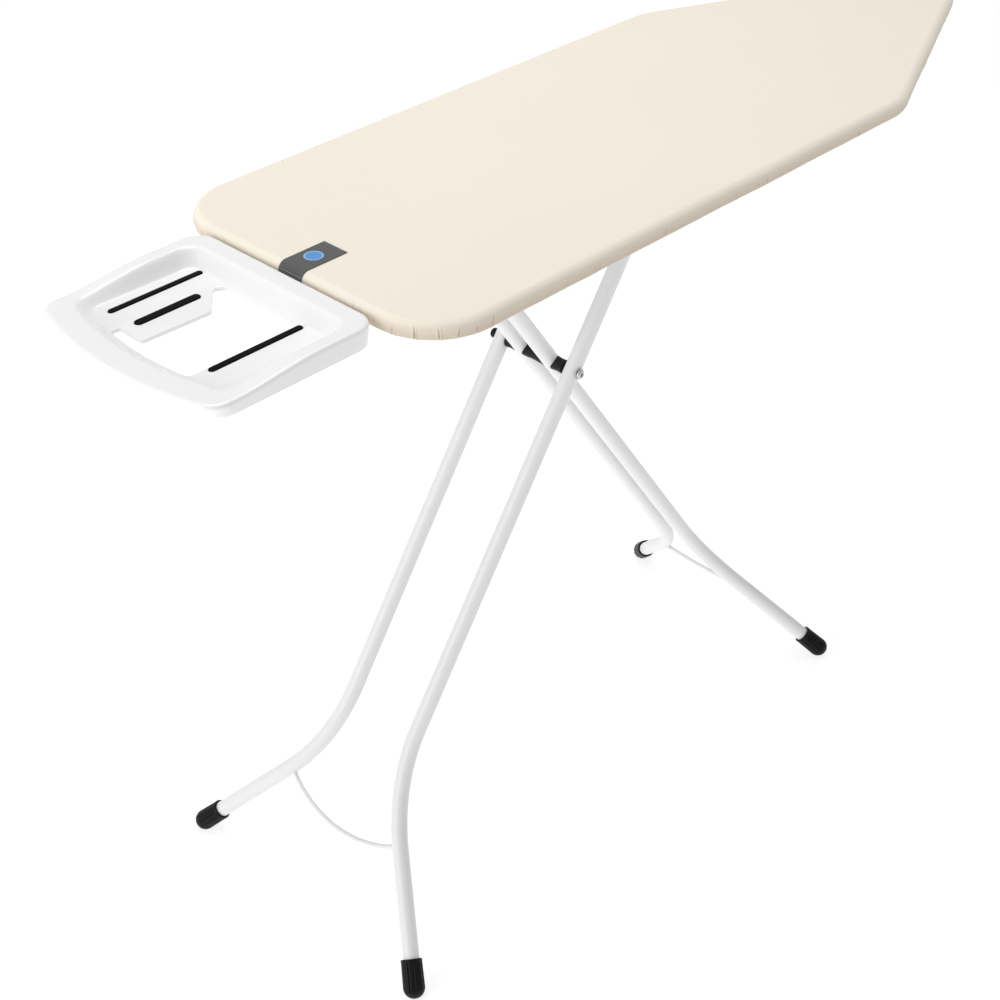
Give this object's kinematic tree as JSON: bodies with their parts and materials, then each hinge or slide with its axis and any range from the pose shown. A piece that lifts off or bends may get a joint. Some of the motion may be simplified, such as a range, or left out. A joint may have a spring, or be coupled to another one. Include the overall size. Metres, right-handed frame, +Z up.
{
  "type": "ironing board",
  "caption": "Free-standing ironing board: padded fabric-covered top on a folding scissor frame of steel tube, with a moulded iron rest at the wide end.",
  "frame": {"origin": "on the floor, under the middle of the whole length", "axes": "+X along the board from the iron rest towards the nose, +Z up"},
  "size_m": [1.488, 0.464, 0.96],
  "materials": {
    "cover_fabric": "ecru plain-weave cotton",
    "foam": "grey-white foam and felt pad",
    "label_cloth": "dark grey woven band",
    "white_paint": "white powder coat",
    "bare_steel": "zinc-plated steel",
    "black_plastic": "fine matt moulded plastic",
    "cap_rubber": "satin black rubber",
    "white_plastic": "glossy white moulded plastic",
    "strip_silicone": "matt black silicone"
  },
  "bodies": {
    "board": {"top_plate": "white_paint", "edge_rim": "white_paint", "foam_pad": "foam", "fabric_cover": "cover_fabric", "cover_label": "label_cloth", "rail_left": "white_paint", "rail_right": "white_paint", "rear_cross_beam": "white_paint", "front_cross_beam": "white_paint", "hinge_rod": "bare_steel", "lock_spring": "bare_steel", "iron_rest": "white_plastic", "rest_strip_left": "strip_silicone", "rest_strip_middle": "strip_silicone", "rest_strip_right": "strip_silicone", "rest_arm_left": "white_paint", "rest_arm_right": "white_paint", "rest_screw_1": "bare_steel", "rest_screw_2": "bare_steel", "rest_screw_3": "bare_steel", "rest_screw_4": "bare_steel"},
    "inner_legs": {"inner_leg_left": "white_paint", "inner_leg_right": "white_paint", "inner_foot_cap_left": "cap_rubber", "inner_foot_cap_right": "cap_rubber", "hinge_bush_left": "black_plastic", "hinge_bush_right": "black_plastic", "inner_top_tube": "white_paint", "inner_brace_wire": "white_paint", "centre_spacer": "black_plastic", "side_spacer_left": "black_plastic", "side_spacer_right": "black_plastic"},
    "outer_legs": {"outer_leg_left": "white_paint", "outer_leg_right": "white_paint", "outer_foot_cap_left": "cap_rubber", "outer_foot_cap_right": "cap_rubber", "outer_top_rod": "bare_steel", "outer_brace_wire": "white_paint", "pivot_washer": "bare_steel", "pivot_bolt": "bare_steel", "nut_cap": "black_plastic"},
    "glides": {"glide_left": "black_plastic", "glide_right": "black_plastic"},
    "height_lock": {"lock_shaft": "bare_steel", "height_rack": "bare_steel", "release_grip": "black_plastic"}
  },
  "joints": [
    {"name": "leg_fold", "type": "hinge", "parent": "board", "child": "inner_legs", "pos_m": [-0.2724, 0, 0.925], "axis": [0, -1, 0], "range_deg": [0, 50]},
    {"name": "scissor_pivot", "type": "hinge", "parent": "inner_legs", "child": "outer_legs", "pos_m": [-0.10497, 0, 0.68139], "axis": [0, -1, 0], "range_deg": [-100, 0]},
    {"name": "glide_turn", "type": "hinge", "parent": "outer_legs", "child": "glides", "pos_m": [0.06246, 0, 0.925], "axis": [0, -1, 0], "range_deg": [0, 50]},
    {"name": "height_lock_turn", "type": "hinge", "parent": "board", "child": "height_lock", "pos_m": [0, 0.026, 0.942], "axis": [-1, 0, 0], "range_deg": [-14, 0]}
  ],
  "couplings": [
    {"joint": "scissor_pivot", "follows": "leg_fold", "ratio": -2},
    {"joint": "glide_turn", "follows": "leg_fold", "ratio": 1}
  ]
}
